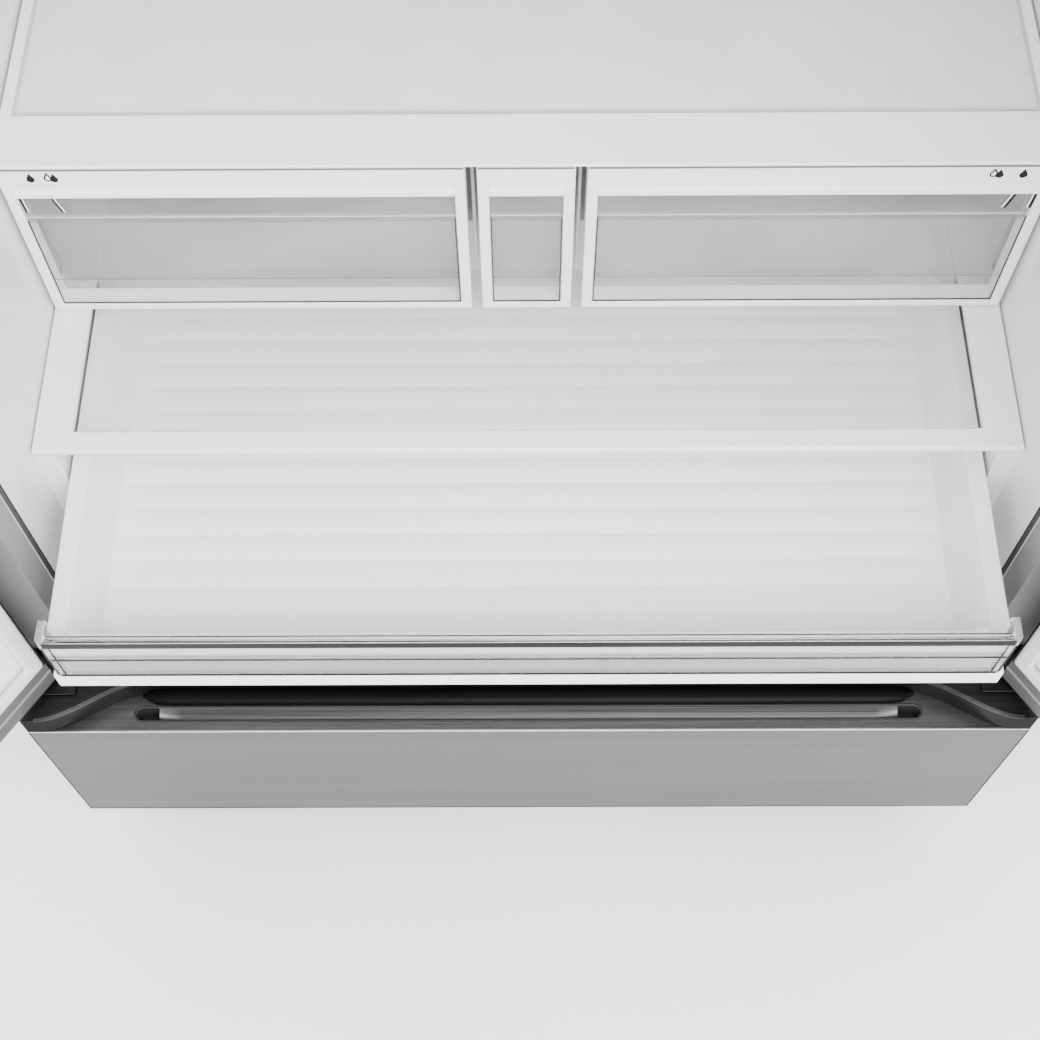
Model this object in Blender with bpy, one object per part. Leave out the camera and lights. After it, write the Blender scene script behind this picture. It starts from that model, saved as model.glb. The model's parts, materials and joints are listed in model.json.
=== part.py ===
"""French door refrigerator: two hinged doors above one freezer drawer.

Units are metres, +Z is up, -Y is the front and X = 0 is the middle of the width.
Every shape is drawn at its closed place, with the front of the doors at Y = 0.
Each moving body hangs on an empty on its joint's axis, which sets the rest pose:
doors open, deli drawer pulled out, everything else closed.
"""

import math

import bmesh
import bpy
from mathutils import Matrix, Vector

# Overall sizes
HALF_W = 0.4525
CABINET_HALF_W = 0.450
DOOR_BACK = 0.058
FRAME_Y = 0.066
BACK_Y = 0.700
TOP_Z = 1.660
GAP = 0.0003
SHEET = 0.0012

# Rest pose
DOOR_ANGLE = 124.0
DELI_OUT = 0.158
# Brings the middle of the object's depth to Y = 0
SHIFT_Y = -0.1773

# Doors
DOOR_Z = (0.373, 1.655)
DOOR_GAP = 0.0015
HINGE_X = 0.4435
HINGE_Y = 0.042
GRIP_Y = (0.021, 0.044)
GRIP_DEEP = 0.018
GASKET_W = 0.016
GASKET_X = (0.006, 0.4495)
GASKET_Z = (0.413, 1.645)
PANEL_Z = (0.600, 1.620)
PANEL_Y = 0.072
BIN_FRONT_Y = 0.150
BIN_HALF = (0.048, 0.392)
LOW_BIN_Z = (0.640, 0.750)
HIGH_BIN_Z = (1.080, 1.180)

# Fresh food compartment
LINER_HALF_W = 0.411
LINER_WALL = 0.003
FRIDGE_Z = (0.428, 1.622)
FRIDGE_BACK_Y = 0.637
STEP_HALF_W = 0.393
STEP_Z = 0.5555
STEP_Y = 0.165
SHELF_Z = 0.751
SHELF_FRONT_Y = 0.302
SHELF_BACK_Y = 0.625
UPPER_SHELVES_Z = (1.020, 1.300)

# Deli drawer and its cover
COVER_Z = (0.556, 0.563)
COVER_Y = (0.162, 0.625)
COVER_HALF_W = 0.410
COVER_BAR = 0.020
COVER_ARM = 0.032
DELI_FRONT_Y = 0.155
DELI_BACK_Y = 0.610
DELI_Z = (0.457, 0.516)
DELI_HALF_W = 0.390
LENS_Z = (0.480, 0.547)
LENS_HALF_W = 0.388
STRIP_HALF_W = 0.391

# Crispers and the narrow drawer between them
CRISPER_Z = (0.566, 0.7477)
CRISPER_X = (0.047, 0.407)
CRISPER_BACK_Y = 0.605
CENTRE_HALF_W = 0.038
TOP_RAIL = 0.0315
BOTTOM_RAIL = 0.008
STILE = 0.009
FRONT_T = 0.018

# Freezer drawer
FREEZER_Z = (0.130, 0.326)
FREEZER_BACK_Y = 0.520
PANEL_BOTTOM_Z = 0.110
LEDGE_Z = 0.338
CAP_Z = 0.366
POCKET_HALF_W = 0.357
POCKET_Y = (0.010, 0.024)
POCKET_DEEP = 0.030

# Base
BASE_Z = (0.030, 0.0617)
FOOT_AT = (0.400, 0.130)
ROLLER_AT = (0.400, 0.650)
ROLLER_R = 0.022

LOOKS = {
    "steel": ((0.55, 0.56, 0.57), 0.32, 1.0),
    "dark_steel": ((0.08, 0.08, 0.085), 0.35, 1.0),
    "grey_paint": ((0.30, 0.31, 0.32), 0.45, 0.0),
    "white": ((0.86, 0.87, 0.87), 0.35, 0.0),
    "clear": ((0.80, 0.83, 0.84), 0.10, 0.0),
    "glass": ((0.75, 0.80, 0.80), 0.05, 0.0),
    "rubber": ((0.05, 0.05, 0.05), 0.70, 0.0),
    "foam": ((0.75, 0.66, 0.42), 0.90, 0.0),
    "zinc": ((0.60, 0.60, 0.58), 0.40, 1.0),
    "black": ((0.03, 0.03, 0.03), 0.55, 0.0),
}

SIDES = (("left", -1), ("right", 1))

bodies = {}


def clear_scene():
    for obj in list(bpy.data.objects):
        bpy.data.objects.remove(obj, do_unlink=True)


def material(look):
    made = bpy.data.materials.get(look)
    if made:
        return made
    colour, roughness, metallic = LOOKS[look]
    made = bpy.data.materials.new(look)
    made.use_nodes = True
    shader = made.node_tree.nodes["Principled BSDF"]
    shader.inputs["Base Color"].default_value = (*colour, 1.0)
    shader.inputs["Roughness"].default_value = roughness
    shader.inputs["Metallic"].default_value = metallic
    return made


def body(name, at, parent=None, turn=0.0, slide=0.0):
    """An empty on a body's joint axis; turn is about Z, slide is towards the front."""
    empty = bpy.data.objects.new(name + "_pivot", None)
    bpy.context.scene.collection.objects.link(empty)
    origin = Vector((0.0, 0.0, 0.0))
    if parent:
        holder, origin = bodies[parent]
        empty.parent = holder
    empty.location = Vector(at) - origin
    if not parent:
        empty.location.y += SHIFT_Y
    empty.location.y -= slide
    empty.rotation_euler.z = math.radians(turn)
    bodies[name] = (empty, Vector(at))


def add(name, bm, look, on="cabinet"):
    """Closes a shape drawn at its closed place and hangs it on its body."""
    holder, origin = bodies[on]
    bmesh.ops.recalc_face_normals(bm, faces=bm.faces)
    bmesh.ops.translate(bm, vec=-origin, verts=bm.verts)
    mesh = bpy.data.meshes.new(name)
    bm.to_mesh(mesh)
    bm.free()
    obj = bpy.data.objects.new(name, mesh)
    obj.data.materials.append(material(look))
    obj.parent = holder
    bpy.context.scene.collection.objects.link(obj)
    return obj


def combine(obj, bm, operation, on="cabinet"):
    """Cuts a shape from an object, or joins it on."""
    tool = add(obj.name + "_tool", bm, "black", on)
    tool.hide_render = True
    tool.display_type = "WIRE"
    modifier = obj.modifiers.new(operation.lower(), "BOOLEAN")
    modifier.operation = operation
    modifier.solver = "EXACT"
    modifier.object = tool


def box(x, y, z, bm=None):
    bm = bm or bmesh.new()
    centre = Vector(((x[0] + x[1]) / 2, (y[0] + y[1]) / 2, (z[0] + z[1]) / 2))
    size = (abs(x[1] - x[0]), abs(y[1] - y[0]), abs(z[1] - z[0]), 1.0)
    place = Matrix.Translation(centre) @ Matrix.Diagonal(size)
    bmesh.ops.create_cube(bm, size=1.0, matrix=place)
    return bm


def slab(x, y, z, inset, bm=None):
    """A box given as half width, for pieces that are centred in X."""
    return box((-x + inset, x - inset), y, z, bm)


def prism(points, low, high, axis="z"):
    """Extrudes an outline: (x, y) up Z, (y, z) along X or (x, z) along Y."""
    bm = bmesh.new()
    order = {"z": (0, 1, 2), "x": (1, 2, 0), "y": (0, 2, 1)}[axis]
    ring = []
    for a, b in points:
        spot = [0.0, 0.0, 0.0]
        spot[order[0]] = a
        spot[order[1]] = b
        spot[order[2]] = low
        ring.append(bm.verts.new(spot))
    face = bm.faces.new(ring)
    moved = bmesh.ops.extrude_face_region(bm, geom=[face], use_keep_orig=True)
    step = Vector((0.0, 0.0, 0.0))
    step[order[2]] = high - low
    fresh = [item for item in moved["geom"] if isinstance(item, bmesh.types.BMVert)]
    bmesh.ops.translate(bm, vec=step, verts=fresh)
    return bm


def stack(levels):
    """Joins rectangles (x range, y range, z) into one closed skin, first to last."""
    bm = bmesh.new()
    rings = []
    for x, y, z in levels:
        corners = ((x[0], y[0]), (x[1], y[0]), (x[1], y[1]), (x[0], y[1]))
        rings.append([bm.verts.new((a, b, z)) for a, b in corners])
    for low, high in zip(rings, rings[1:]):
        for i in range(4):
            j = (i + 1) % 4
            bm.faces.new((low[i], low[j], high[j], high[i]))
    bm.faces.new(rings[0])
    bm.faces.new(rings[-1])
    return bm


def tray(x, y, z, wall, draft=0.0, rim=0.0):
    """An open-topped bin whose walls lean out by draft and end in a rim."""
    def shrink(span, by):
        return (span[0] + by, span[1] - by)

    levels = [(shrink(x, rim + draft), shrink(y, rim + draft), z[0])]
    if rim:
        levels.append((shrink(x, rim), shrink(y, rim), z[1] - 2 * wall))
        levels.append((x, y, z[1] - 2 * wall))
    levels.append((x, y, z[1]))
    levels.append((shrink(x, rim + wall), shrink(y, rim + wall), z[1]))
    inner = rim + draft + wall
    levels.append((shrink(x, inner), shrink(y, inner), z[0] + wall))
    return stack(levels)


def turned(profile, centre, axis="z", steps=16, closed=False):
    """Turns (radius, height) points about an axis through centre.

    An open profile starts and ends on the axis; a closed one makes a ring."""
    bm = bmesh.new()
    rows = []
    for radius, height in profile:
        row = []
        for i in range(steps if radius else 1):
            angle = (i + 0.5) * math.tau / steps
            a = radius * math.cos(angle)
            b = radius * math.sin(angle)
            spot = (a, b, height) if axis == "z" else (height, a, b)
            row.append(bm.verts.new(Vector(centre) + Vector(spot)))
        rows.append(row)
    pairs = list(zip(rows, rows[1:]))
    if closed:
        pairs.append((rows[-1], rows[0]))
    for low, high in pairs:
        for i in range(steps):
            j = (i + 1) % steps
            ring = [low[i % len(low)], low[j % len(low)]]
            ring += [high[j % len(high)], high[i % len(high)]]
            bm.faces.new(list(dict.fromkeys(ring)))
    return bm


def rod(radius, low, high, centre, axis="z", steps=16):
    return turned([(0, low), (radius, low), (radius, high), (0, high)], centre, axis, steps)


def side_span(side, near, far):
    """An X range given by its distances from the middle, on one side."""
    return (side * near, side * far) if side > 0 else (side * far, side * near)


def make_cabinet():
    w = CABINET_HALF_W
    t = SHEET
    z0 = BASE_Z[1] + GAP
    outline = [(-w, z0), (-w, TOP_Z), (w, TOP_Z), (w, z0)]
    outline += [(w - t, z0), (w - t, TOP_Z - t), (t - w, TOP_Z - t), (t - w, z0)]
    add("cabinet_wrapper", prism(outline, FRAME_Y, BACK_Y, "y"), "grey_paint")

    inside = t + GAP
    frame_y = (FRAME_Y, FRAME_Y + 0.002)
    frame = add(
        "front_frame",
        slab(w, frame_y, (z0, TOP_Z - inside), inside),
        "grey_paint",
    )
    cut = slab(LINER_HALF_W, (0.05, 0.10), FRIDGE_Z, 0)
    slab(LINER_HALF_W, (0.05, 0.10), FREEZER_Z, 0, cut)
    combine(frame, cut, "DIFFERENCE")

    panel_y = (BACK_Y - SHEET, BACK_Y)
    add("back_panel", slab(w, panel_y, (0.262, TOP_Z - inside), inside), "zinc")
    make_foam(inside, z0)


def make_foam(inside, z0):
    y = (FRAME_Y + 0.002 + GAP, BACK_Y - SHEET - GAP)
    foam = add(
        "foam_body",
        slab(CABINET_HALF_W, y, (z0, TOP_Z - inside), inside),
        "foam",
    )
    grow = LINER_WALL + GAP
    room = slab(LINER_HALF_W + grow, (0.05, FRIDGE_BACK_Y + grow), grown(FRIDGE_Z, grow), 0)
    slab(LINER_HALF_W + grow, (0.05, FREEZER_BACK_Y + grow), grown(FREEZER_Z, grow), 0, room)
    slab(0.442, (0.563, 0.75), (0.02, 0.262), 0, room)
    combine(foam, room, "DIFFERENCE")


def grown(span, by):
    return (span[0] - by, span[1] + by)


def make_liners():
    y0 = FRAME_Y + 0.002 + GAP
    wall = LINER_WALL
    fridge = add(
        "fridge_liner",
        slab(LINER_HALF_W + wall, (y0, FRIDGE_BACK_Y + wall), grown(FRIDGE_Z, wall), 0),
        "white",
    )
    room = slab(LINER_HALF_W, (0.05, FRIDGE_BACK_Y), (STEP_Z, FRIDGE_Z[1]), 0)
    combine(fridge, room, "DIFFERENCE")
    lower = [(-LINER_HALF_W, 0.05), (LINER_HALF_W, 0.05), (LINER_HALF_W, STEP_Y)]
    lower += [(STEP_HALF_W, STEP_Y), (STEP_HALF_W, FRIDGE_BACK_Y)]
    lower += [(-STEP_HALF_W, FRIDGE_BACK_Y), (-STEP_HALF_W, STEP_Y)]
    lower += [(-LINER_HALF_W, STEP_Y)]
    combine(fridge, prism(lower, FRIDGE_Z[0], STEP_Z + 0.01), "DIFFERENCE")

    freezer = add(
        "freezer_liner",
        slab(LINER_HALF_W + wall, (y0, FREEZER_BACK_Y + wall), grown(FREEZER_Z, wall), 0),
        "white",
    )
    room = slab(LINER_HALF_W, (0.05, FREEZER_BACK_Y), FREEZER_Z, 0)
    combine(freezer, room, "DIFFERENCE")
    cover_y = (FREEZER_BACK_Y - 0.012, FREEZER_BACK_Y - GAP)
    add("evaporator_cover", slab(0.380, cover_y, (0.150, 0.310), 0), "white")


def make_base():
    x = (-0.445, 0.445)
    y = (0.100, 0.695)
    wall = 0.002
    inner_x = (x[0] + wall, x[1] - wall)
    inner_y = (y[0] + wall, y[1] - wall)
    levels = [(inner_x, inner_y, BASE_Z[1] - wall), (inner_x, inner_y, BASE_Z[0])]
    levels += [(x, y, BASE_Z[0]), (x, y, BASE_Z[1])]
    add("base_frame", stack(levels), "zinc")

    grille = add(
        "toe_grille",
        slab(0.440, (0.052, FRAME_Y - GAP), (0.012, 0.104), 0),
        "black",
    )
    slots = bmesh.new()
    for i in range(4):
        z = 0.030 + 0.016 * i
        slab(0.400, (0.050, 0.062), (z, z + 0.008), 0, slots)
    combine(grille, slots, "DIFFERENCE")

    for name, side in SIDES:
        x, y = side * FOOT_AT[0], FOOT_AT[1]
        on = "foot_" + name
        body(on, (x, y, 0.0))
        profile = [(0, 0), (0.019, 0), (0.019, 0.007), (0.006, 0.010), (0.006, 0.056), (0, 0.056)]
        add("levelling_foot_" + name, turned(profile, (x, y, 0)), "black", on)

        x, y = side * ROLLER_AT[0], ROLLER_AT[1]
        on = "roller_" + name
        body(on, (x, y, ROLLER_R))
        flat = ROLLER_R / math.cos(math.pi / 16)
        profile = [(0, -0.020), (0.004, -0.020), (0.004, -0.011), (flat, -0.011)]
        profile += [(flat, 0.011), (0.004, 0.011), (0.004, 0.020), (0, 0.020)]
        add("rear_roller_" + name, turned(profile, (x, y, ROLLER_R), "x"), "black", on)


def make_machine_bay():
    can = [(0, 0.064), (0.050, 0.064), (0.062, 0.085), (0.062, 0.190), (0.042, 0.222), (0, 0.230)]
    add("compressor", turned(can, (-0.230, 0.630, 0), steps=20), "black")
    add("condenser", box((0.060, 0.300), (0.585, 0.675), (0.070, 0.220)), "zinc")
    cover_z = (BASE_Z[1] + GAP, 0.262 - GAP)
    cover = add(
        "machine_cover",
        slab(0.4485, (BACK_Y - SHEET, BACK_Y), cover_z, 0),
        "zinc",
    )
    louvres = bmesh.new()
    for i in range(8):
        x = 0.050 + 0.030 * i
        box((x, x + 0.012), (0.68, 0.72), (0.100, 0.200), louvres)
    combine(cover, louvres, "DIFFERENCE")
    x, y = (-0.345, -0.315), (BACK_Y + GAP, BACK_Y + 0.014)
    inlet = add("power_inlet", box(x, y, (0.180, 0.204)), "black")
    combine(inlet, box((-0.341, -0.319), (0.706, 0.73), (0.184, 0.200)), "DIFFERENCE")


def ring_frame(x, y, z, hole_x, hole_y):
    """A flat frame with one hole through Z."""
    bm = bmesh.new()
    levels = [(hole_x, hole_y, z[0]), (x, y, z[0]), (x, y, z[1]), (hole_x, hole_y, z[1])]
    rings = []
    for span_x, span_y, height in levels:
        corners = ((span_x[0], span_y[0]), (span_x[1], span_y[0]))
        corners += ((span_x[1], span_y[1]), (span_x[0], span_y[1]))
        rings.append([bm.verts.new((a, b, height)) for a, b in corners])
    for low, high in zip(rings, rings[1:] + rings[:1]):
        for i in range(4):
            j = (i + 1) % 4
            bm.faces.new((low[i], low[j], high[j], high[i]))
    return bm


def upright_frame(x, z, y, hole_x, hole_z):
    """A frame standing in X and Z with one hole through Y."""
    bm = ring_frame(x, z, y, hole_x, hole_z)
    for vert in bm.verts:
        vert.co = Vector((vert.co.x, vert.co.z, vert.co.y))
    return bm


def make_shelves():
    edge = 0.409
    frame = add(
        "crisper_shelf_frame",
        ring_frame(
            (-edge, edge),
            (SHELF_FRONT_Y, SHELF_BACK_Y),
            (SHELF_Z - 0.010, SHELF_Z),
            (-0.399, 0.399),
            (SHELF_FRONT_Y + 0.052, SHELF_BACK_Y - 0.010),
        ),
        "white",
    )
    nose_y = (SHELF_FRONT_Y - 0.001, SHELF_FRONT_Y + 0.0205)
    combine(frame, slab(0.42, nose_y, (SHELF_Z - 0.020, SHELF_Z - 0.003), 0), "DIFFERENCE")
    hangers = bmesh.new()
    for _, side in SIDES:
        hanger_z = (CRISPER_Z[0] + 0.010, SHELF_Z - 0.0045)
        box(side_span(side, 0.0415, 0.0445), (0.335, 0.620), hanger_z, hangers)
    slab(0.0445, (0.335, 0.353), (SHELF_Z - 0.009, SHELF_Z - 0.001), 0, hangers)
    combine(frame, hangers, "UNION")
    glass_y = (SHELF_FRONT_Y + 0.052 + GAP, SHELF_BACK_Y - 0.010 - GAP)
    glass_z = (SHELF_Z - 0.0035, SHELF_Z - 0.0005)
    add("crisper_shelf_glass", slab(0.399, glass_y, glass_z, GAP), "glass")
    for name, z in zip(("mid_shelf", "upper_shelf"), UPPER_SHELVES_Z):
        edge_drop = [(0.262, z - 0.018), (0.276, z - 0.018), (0.276, z - 0.005)]
        edge_drop += [(0.620, z - 0.005), (0.620, z), (0.262, z)]
        add(name, prism(edge_drop, -0.408, 0.408, "x"), "glass")

    tower = [(-0.130, 0.6367), (-0.110, 0.606), (0.110, 0.606), (0.130, 0.6367)]
    add("air_tower", prism(tower, 1.320, 1.600), "white")


def make_deli_cover():
    hole_x = COVER_HALF_W - COVER_ARM
    hole_y = (COVER_Y[0] + COVER_BAR, COVER_Y[1] - COVER_BAR)
    add(
        "deli_cover_frame",
        ring_frame((-COVER_HALF_W, COVER_HALF_W), COVER_Y, COVER_Z, (-hole_x, hole_x), hole_y),
        "white",
    )
    glass_y = (hole_y[0] + GAP, hole_y[1] - GAP)
    add("deli_cover_glass", slab(hole_x, glass_y, (0.5575, 0.5615), 0.0033), "glass")


def make_deli_drawer():
    on = "deli_drawer"
    body(on, (0.0, DELI_FRONT_Y, DELI_Z[0]), slide=DELI_OUT)
    x = (-DELI_HALF_W, DELI_HALF_W)
    y = (DELI_FRONT_Y + 0.0075, DELI_BACK_Y)
    bin_ = add("deli_bin", tray(x, y, DELI_Z, 0.003, draft=0.014, rim=0.012), "white", on)
    strip = slab(STRIP_HALF_W, (DELI_FRONT_Y, DELI_FRONT_Y + 0.030), (DELI_Z[0], LENS_Z[0] - GAP), 0)
    combine(bin_, strip, "UNION", on)
    lens_y = (DELI_FRONT_Y, DELI_FRONT_Y + 0.0072)
    add("deli_lens", slab(LENS_HALF_W, lens_y, LENS_Z, 0), "clear", on)


def drawer_front(name, x, on):
    z = CRISPER_Z
    y = (SHELF_FRONT_Y, SHELF_FRONT_Y + FRONT_T)
    hole_x = (x[0] + STILE, x[1] - STILE)
    hole_z = (z[0] + BOTTOM_RAIL, z[1] - TOP_RAIL)
    add(name + "_frame", upright_frame(x, z, y, hole_x, hole_z), "white", on)
    inner = 0.003
    bin_y = (SHELF_FRONT_Y + FRONT_T + GAP, CRISPER_BACK_Y)
    bin_x = (x[0] + inner, x[1] - inner)
    bin_z = (z[0] + 0.004, z[1] - 0.024)
    add(name + "_bin", tray(bin_x, bin_y, bin_z, 0.0025, draft=0.006), "clear", on)


def make_crispers():
    for name, side in SIDES:
        on = "crisper_" + name
        x = side_span(side, *CRISPER_X)
        body(on, ((x[0] + x[1]) / 2, SHELF_FRONT_Y, CRISPER_Z[0]))
        drawer_front(on, x, on)
        middle = (x[0] + x[1]) / 2
        z = (CRISPER_Z[1] - 0.022, CRISPER_Z[1] - 0.010)
        y = (SHELF_FRONT_Y + FRONT_T + GAP, SHELF_FRONT_Y + FRONT_T + 0.006)
        slider = "humidity_slider_" + name
        body(slider, (middle, y[0], z[0]), parent=on)
        add(slider, box((middle - 0.030, middle + 0.030), y, z), "white", slider)
    body("centre_drawer", (0.0, SHELF_FRONT_Y, CRISPER_Z[0]))
    drawer_front("centre_drawer", (-CENTRE_HALF_W, CENTRE_HALF_W), "centre_drawer")


def mirror_outline(half):
    """Adds the mirror image of an outline drawn on the +X side."""
    return half + [(-x, y) for x, y in reversed(half)]


def pocket_cut():
    """The finger pocket: a long slot with round ends, open at the top."""
    x, y = POCKET_HALF_W, POCKET_Y
    r = (y[1] - y[0]) / 2
    mid = (y[0] + y[1]) / 2
    half = []
    for i in range(7):
        angle = math.radians(-90 + 30 * i)
        half.append((x - r + r * math.cos(angle), mid + r * math.sin(angle)))
    return prism(mirror_outline(half), LEDGE_Z - POCKET_DEEP, LEDGE_Z + 0.01)


def make_freezer_drawer():
    on = "freezer_drawer"
    body(on, (0.0, 0.0, PANEL_BOTTOM_Z))
    w = HALF_W
    z = (PANEL_BOTTOM_Z, LEDGE_Z)
    skin = add("freezer_front", slab(w, (0.0, 0.0565), z, 0), "steel", on)
    combine(skin, slab(w - 0.001, (0.001, 0.07), (z[0] + 0.001, z[1] - 0.001), 0), "DIFFERENCE", on)
    combine(skin, pocket_cut(), "DIFFERENCE", on)
    inside = 0.0013
    core_z = (z[0] + inside, z[1] - inside)
    core = add("freezer_core", slab(w, (inside, DOOR_BACK), core_z, inside), "white", on)
    combine(core, pocket_cut(), "DIFFERENCE", on)
    make_freezer_cap(on)

    span_x = (-GASKET_X[1], GASKET_X[1])
    span_z = (PANEL_BOTTOM_Z + 0.002, LEDGE_Z + 0.012)
    gasket = upright_frame(
        span_x,
        span_z,
        (DOOR_BACK + GAP, FRAME_Y - 0.0005),
        grown(span_x, -GASKET_W),
        grown(span_z, -GASKET_W),
    )
    add("freezer_gasket", gasket, "rubber", on)
    basket = tray((-0.385, 0.385), (0.088, 0.500), (0.142, 0.300), 0.003, draft=0.012)
    holder = add("freezer_basket", basket, "white", on)
    arms = bmesh.new()
    for _, side in SIDES:
        box(side_span(side, 0.340, 0.352), (DOOR_BACK + GAP, 0.0895), (0.190, 0.290), arms)
    combine(holder, arms, "UNION", on)

    body("freezer_tray", (0.0, 0.330, 0.243), parent=on)
    shelf = tray((-0.374, 0.374), (0.300, 0.484), (0.243, 0.296), 0.0025, draft=0.004)
    add("freezer_tray", shelf, "clear", "freezer_tray")

    for name, side in SIDES:
        rail = "freezer_rail_" + name
        x = side_span(side, 0.392, 0.403)
        body(rail, (side * 0.3975, 0.095, 0.200))
        add(rail, box(x, (0.095, 0.495), (0.185, 0.215)), "zinc", rail)


def make_freezer_cap(on):
    """The dark top of the drawer front, scooped back over the finger pocket."""
    scoop = []
    deep = 0.036
    start, end = 0.440, 0.345
    steps = 10
    for i in range(steps + 1):
        t = i / steps
        ease = t * t * (3 - 2 * t)
        scoop.append((start + (end - start) * t, deep * ease))
    half = [(HALF_W, DOOR_BACK), (HALF_W, 0.0)] + scoop
    outline = mirror_outline(half)
    add("freezer_cap", prism(outline, LEDGE_Z + GAP, CAP_Z), "dark_steel", on)


def make_hinges(name, side):
    """Top and bottom brackets with their pins, on the door's hinge axis."""
    pin_r = 0.004
    axis = (side * HINGE_X, HINGE_Y, 0.0)
    span = side_span(side, 0.405, 0.449)
    top = add(
        "top_hinge_" + name,
        box(span, (0.024, 0.150), (TOP_Z + GAP, TOP_Z + 0.005)),
        "zinc",
    )
    combine(top, rod(pin_r, 1.636, TOP_Z + 0.003, axis), "UNION")

    foot = [(0.024, 0.3673), (FRAME_Y - GAP, 0.3673), (FRAME_Y - GAP, 0.3775)]
    foot += [(FRAME_Y - 0.0023, 0.3775), (FRAME_Y - 0.0023, 0.3693), (0.024, 0.3693)]
    bottom = add("bottom_hinge_" + name, prism(foot, *span, "x"), "zinc")
    combine(bottom, rod(pin_r, 0.368, 0.392, axis), "UNION")

    ring = "hinge_bushing_" + name
    body(ring, axis)
    profile = [(0.0046, 0.3697), (0.0085, 0.3697), (0.0085, 0.3724), (0.0066, 0.3724)]
    profile += [(0.0066, 0.390), (0.0046, 0.390)]
    add(ring, turned(profile, axis, closed=True), "white", ring)


def make_door(name, side):
    make_hinges(name, side)
    on = "door_" + name
    axis = Vector((side * HINGE_X, HINGE_Y, 0.0))
    body(on, axis, parent="hinge_bushing_" + name, turn=side * DOOR_ANGLE)

    far, near, t = HALF_W, DOOR_GAP, 0.001
    skin = [(far, DOOR_BACK - 0.001), (far, 0.0), (near, 0.0), (near, GRIP_Y[0])]
    skin += [(near + t, GRIP_Y[0]), (near + t, t), (far - t, t), (far - t, DOOR_BACK - 0.001)]
    add(on + "_skin", prism(flip(skin, side), *DOOR_Z), "steel", on)

    inside = t + GAP
    core = [(far - inside, inside), (near + inside, inside), (near + inside, GRIP_Y[0])]
    core += [(near + GRIP_DEEP, GRIP_Y[0]), (near + GRIP_DEEP, GRIP_Y[1])]
    core += [(near + inside, GRIP_Y[1]), (near + inside, DOOR_BACK), (far - inside, DOOR_BACK)]
    door = add(on + "_core", prism(flip(core, side), *DOOR_Z), "white", on)
    raised = box(side_span(side, 0.040, 0.400), (DOOR_BACK - 0.010, PANEL_Y), PANEL_Z)
    combine(door, raised, "UNION", on)
    holes = rod(0.0074, 0.360, 0.394, axis)
    combine(door, holes, "DIFFERENCE", on)
    combine(door, rod(0.0052, 1.634, 1.670, axis), "DIFFERENCE", on)

    gasket = upright_frame(
        side_span(side, *GASKET_X),
        GASKET_Z,
        (DOOR_BACK + GAP, FRAME_Y - 0.0005),
        side_span(side, *grown(GASKET_X, -GASKET_W)),
        grown(GASKET_Z, -GASKET_W),
    )
    add(on + "_gasket", gasket, "rubber", on)
    x = side_span(side, *BIN_HALF)
    for label, z in (("low", LOW_BIN_Z), ("high", HIGH_BIN_Z)):
        shape = tray(x, (PANEL_Y + GAP, BIN_FRONT_Y), z, 0.003, draft=0.004)
        add(on + "_" + label + "_bin", shape, "clear", on)


def flip(points, side):
    return [(side * x, y) for x, y in points]


def make_flipper():
    """The mullion bar on the left door that both door gaskets close on."""
    axis = Vector((-0.026, FRAME_Y + 0.010, 0.0))
    body("flipper", axis, parent="door_left", turn=90.0)
    bar = box((-0.024, 0.024), (FRAME_Y, FRAME_Y + 0.020), grown(FRIDGE_Z, -0.005))
    add("flipper_mullion", bar, "grey_paint", "flipper")


def main():
    clear_scene()
    body("cabinet", (0.0, 0.0, 0.0))
    make_cabinet()
    make_liners()
    make_base()
    make_machine_bay()
    make_shelves()
    make_deli_cover()
    make_deli_drawer()
    make_crispers()
    make_freezer_drawer()
    for name, side in SIDES:
        make_door(name, side)
    make_flipper()


main()
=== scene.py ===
import json
import math

import bmesh
import bpy
from mathutils import Matrix, Vector

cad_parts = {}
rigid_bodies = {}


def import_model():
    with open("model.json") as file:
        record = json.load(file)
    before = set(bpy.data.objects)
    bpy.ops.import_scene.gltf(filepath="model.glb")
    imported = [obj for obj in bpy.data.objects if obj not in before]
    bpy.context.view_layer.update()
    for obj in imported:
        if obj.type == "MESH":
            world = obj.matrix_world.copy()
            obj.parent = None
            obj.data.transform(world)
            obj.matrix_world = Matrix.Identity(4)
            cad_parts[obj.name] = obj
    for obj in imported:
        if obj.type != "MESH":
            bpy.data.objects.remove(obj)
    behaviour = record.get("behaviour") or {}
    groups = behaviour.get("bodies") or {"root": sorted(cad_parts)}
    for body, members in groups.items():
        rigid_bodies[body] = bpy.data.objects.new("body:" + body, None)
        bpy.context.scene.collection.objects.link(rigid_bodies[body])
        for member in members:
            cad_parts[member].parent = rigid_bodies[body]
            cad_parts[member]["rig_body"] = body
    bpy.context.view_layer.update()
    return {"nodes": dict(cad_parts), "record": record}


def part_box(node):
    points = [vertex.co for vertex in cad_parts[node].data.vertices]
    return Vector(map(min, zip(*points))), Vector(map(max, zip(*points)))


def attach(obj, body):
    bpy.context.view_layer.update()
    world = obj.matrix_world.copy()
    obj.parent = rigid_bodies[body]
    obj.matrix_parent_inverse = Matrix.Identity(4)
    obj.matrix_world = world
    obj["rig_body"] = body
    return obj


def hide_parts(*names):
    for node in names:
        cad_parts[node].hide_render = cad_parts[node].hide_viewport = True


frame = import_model()

SIDES = (("left", -1), ("right", 1))
DOOR_ANGLE = 124.0
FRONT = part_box("freezer_front")[0].y
HINGE_X = 0.4435
HINGE_Y = FRONT + 0.042

# Camera, relative to the middle of the width and the plane of the freezer front
CAMERA_AT = (-0.0008, -0.4852, 1.6689)
CAMERA_PITCH = 62.25
CAMERA_YAW = -0.52
CAMERA_ROLL = -0.68
LENS_MM = 53.8

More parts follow.
